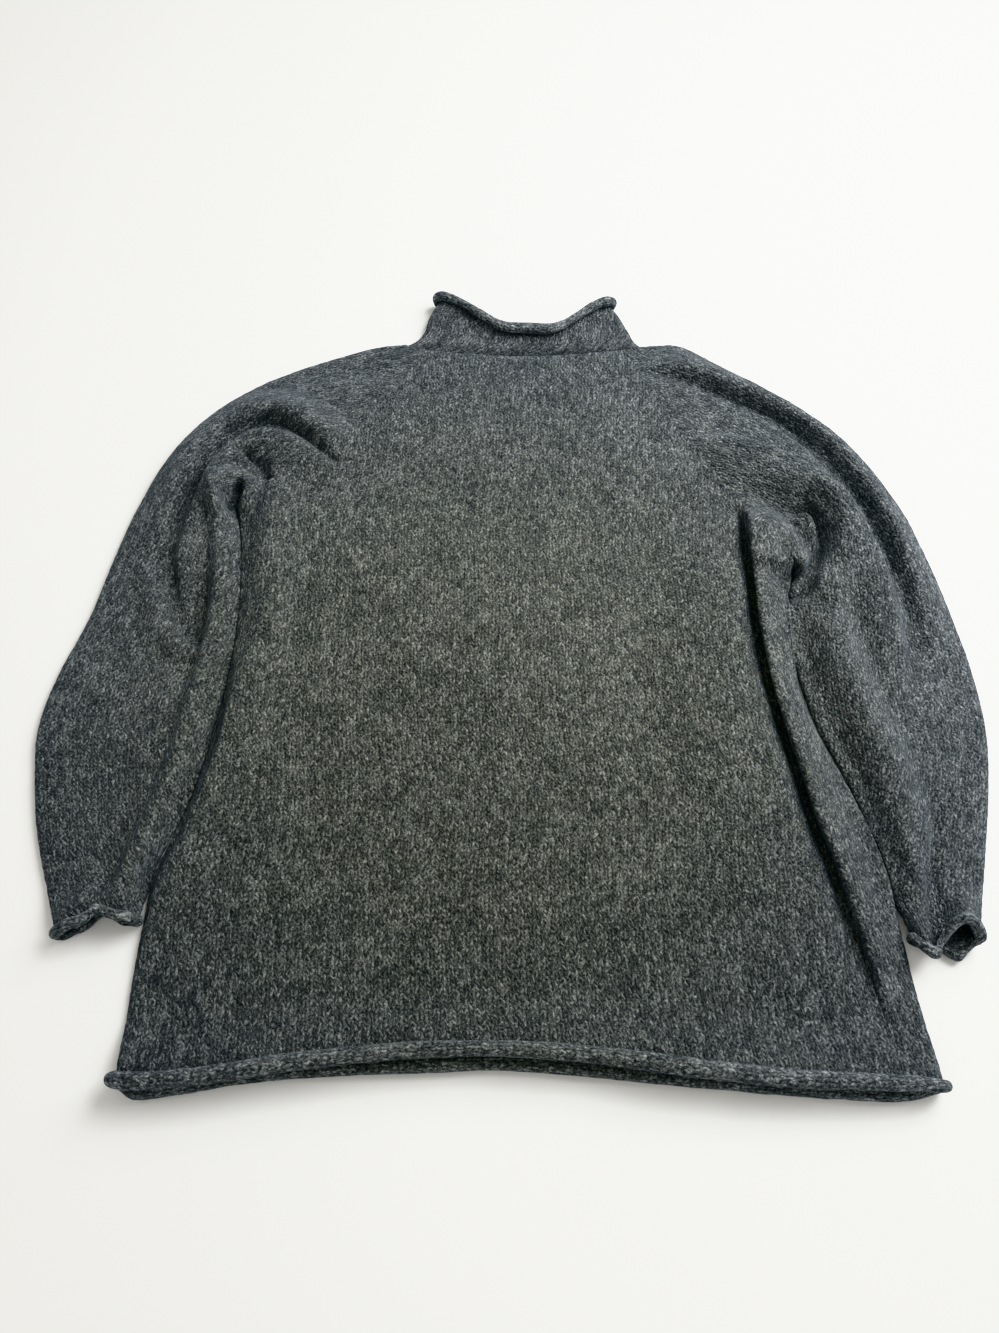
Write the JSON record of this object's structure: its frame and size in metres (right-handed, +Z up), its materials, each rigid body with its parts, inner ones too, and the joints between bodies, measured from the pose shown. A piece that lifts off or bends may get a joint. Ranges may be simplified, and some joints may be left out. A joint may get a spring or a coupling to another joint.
{
  "type": "roll-neck raglan sweater laid flat",
  "caption": "Heavy stockinette raglan sweater laid flat, front up and sleeves turned down, with rolled neck, cuffs and hem.",
  "frame": {"origin": "middle of the laid garment's bounding box, on the surface it lies on", "axes": "+Z up out of the front, +Y from the hem to the neck, +X to the viewer's right, which is the wearer's left"},
  "size_m": [0.802, 0.7515, 0.0362],
  "materials": {
    "wool_body": "marled charcoal wool, heavy stockinette, slightly hairy",
    "wool_sleeves": "marled charcoal wool, heavy stockinette, slightly hairy",
    "wool_collar": "marled charcoal wool, stockinette picked up along the neckline"
  },
  "bodies": {
    "root": {"front": "wool_body", "back": "wool_body", "sleeve_left": "wool_sleeves", "sleeve_right": "wool_sleeves", "collar": "wool_collar"}
  },
  "joints": []
}
